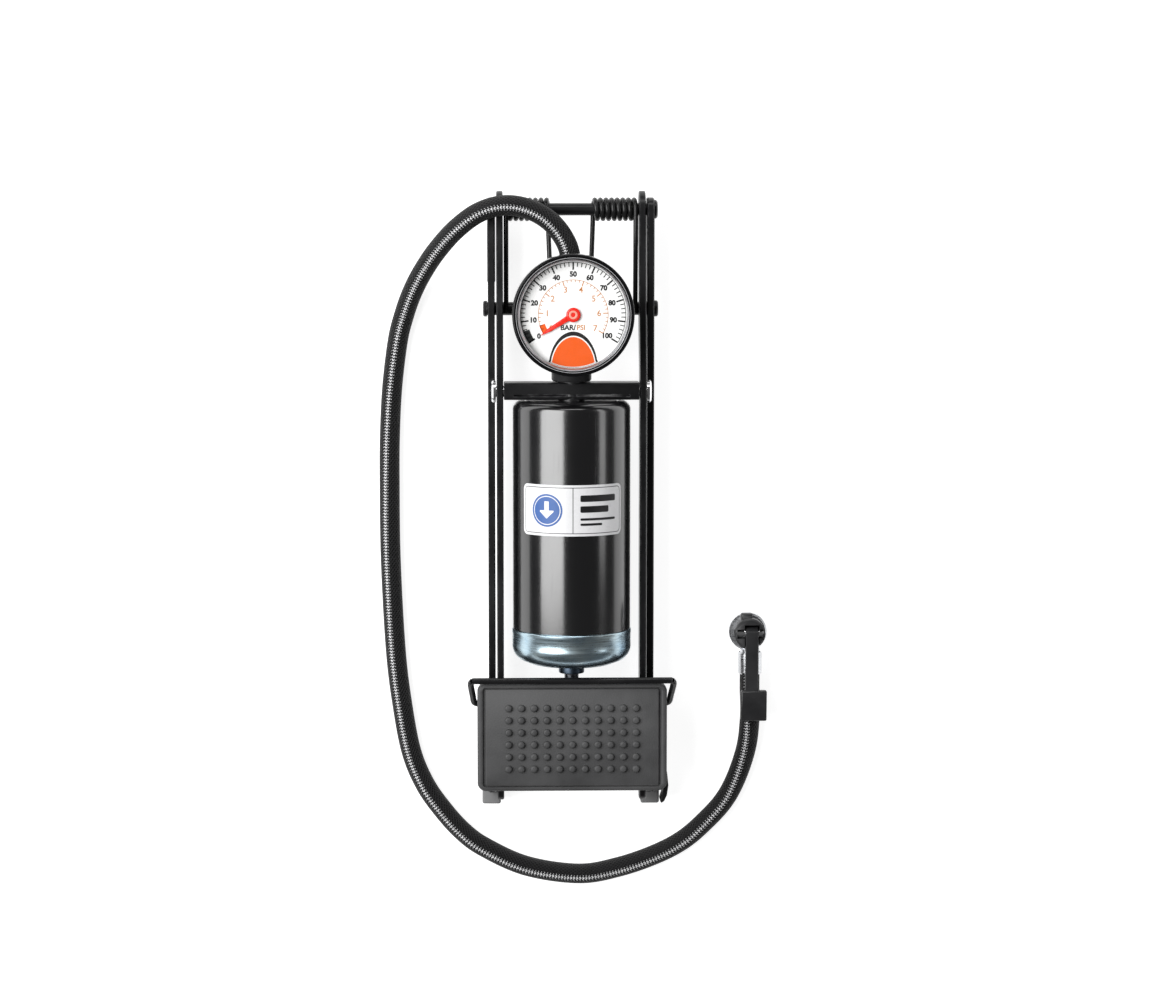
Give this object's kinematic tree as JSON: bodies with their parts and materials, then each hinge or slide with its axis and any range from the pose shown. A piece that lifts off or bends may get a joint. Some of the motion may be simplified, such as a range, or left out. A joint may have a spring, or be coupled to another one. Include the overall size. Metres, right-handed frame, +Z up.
{
  "type": "foot air pump",
  "caption": "Single-cylinder foot air pump folded flat, with a hinged pedal, a dial gauge, a braided hose and a lever tyre chuck.",
  "frame": {"origin": "middle of the folded pump's footprint on the floor, without its hose and chuck", "axes": "+Y from the pedal towards the main hinge, +Z up with the pump lying on its feet, +X to the right seen from above with the hinge away"},
  "size_m": [0.1834, 0.3315, 0.0672],
  "materials": {
    "frame_black": "satin black powder coat",
    "spring_black": "satin black",
    "wire_black": "gloss black",
    "barrel_gloss_black": "gloss black enamel",
    "cap_zinc": "bluish zinc plate",
    "zinc_plate": "bright zinc plate",
    "chrome": "bright",
    "rod_steel": "ground steel",
    "foot_rubber": "grey moulded rubber",
    "pad_rubber": "dark grey moulded rubber",
    "seal_rubber": "matt",
    "hose_braid": "woven black cover with a light thread",
    "black_plastic": "moulded",
    "bezel_gloss": "gloss black",
    "lens_clear": "clear",
    "dial_white": "printed white",
    "brass": "turned",
    "needle_red": "red lacquer"
  },
  "bodies": {
    "base": {"base_rail_left": "frame_black", "base_rail_right": "frame_black", "tie_rod": "frame_black", "hinge_axle": "frame_black", "anchor_bracket": "frame_black", "rod_pin_left": "zinc_plate", "rod_pin_right": "zinc_plate", "front_foot_left": "foot_rubber", "front_foot_right": "foot_rubber", "rear_foot_left": "foot_rubber", "rear_foot_right": "foot_rubber", "rail_toe_right": "frame_black", "return_spring": "spring_black", "hose_lower": "hose_braid", "chuck_ferrule": "zinc_plate", "chuck_body": "zinc_plate", "chuck_cap": "black_plastic", "chuck_seal": "seal_rubber", "chuck_pin": "chrome"},
    "pedal_frame": {"pedal_arm_left": "frame_black", "pedal_arm_right": "frame_black", "yoke_rivet_left": "chrome", "yoke_rivet_right": "chrome", "pedal_plate": "frame_black", "pedal_pad": "pad_rubber"},
    "bail": {"locking_bail": "wire_black"},
    "cylinder": {"head_yoke": "frame_black", "cylinder_barrel": "barrel_gloss_black", "end_cap": "cap_zinc", "rod_bush": "black_plastic", "outlet_manifold": "black_plastic", "hose_ferrule": "zinc_plate", "gauge_case": "black_plastic", "gauge_bezel": "bezel_gloss", "gauge_lens": "lens_clear", "gauge_dial": "dial_white", "gauge_movement": "brass", "hose_upper": "hose_braid"},
    "needle": {"gauge_needle": "needle_red"},
    "piston": {"piston_rod": "rod_steel", "piston_disc": "cap_zinc", "piston_cup": "seal_rubber", "piston_nut": "zinc_plate", "rod_end": "rod_steel"},
    "lever": {"chuck_lever": "black_plastic"}
  },
  "joints": [
    {"name": "pedal_hinge", "type": "hinge", "parent": "base", "child": "pedal_frame", "pos_m": [0, 0.1365, 0.0155], "axis": [-1, 0, 0], "range_deg": [0, 38], "deforming": ["return_spring", "hose_lower", "hose_upper"]},
    {"name": "head_pivot", "type": "hinge", "parent": "pedal_frame", "child": "cylinder", "pos_m": [0, 0.0526, 0.0305], "axis": [1, 0, 0], "range_deg": [0, 55.5]},
    {"name": "piston_slide", "type": "slide", "parent": "cylinder", "child": "piston", "axis": [0, -1, 0], "range_m": [0, 0.0302]},
    {"name": "bail_hinge", "type": "hinge", "parent": "pedal_frame", "child": "bail", "pos_m": [0, -0.094, 0.032], "axis": [1, 0, 0], "range_deg": [0, 76]},
    {"name": "needle_sweep", "type": "hinge", "parent": "cylinder", "child": "needle", "pos_m": [0, 0.09, 0.061], "axis": [0, 0, -1], "range_deg": [0, 244], "stiffness_Nm_per_rad": 0.0001},
    {"name": "chuck_lever_hinge", "type": "hinge", "parent": "base", "child": "lever", "pos_m": [0.0858, -0.0636, 0.0162], "axis": [-1, 0, 0], "range_deg": [0, 90]}
  ],
  "couplings": [
    {"joint": "head_pivot", "follows": "pedal_hinge", "ratio": 1.45},
    {"joint": "piston_slide", "follows": "pedal_hinge", "m_per_rad": 0.045}
  ]
}
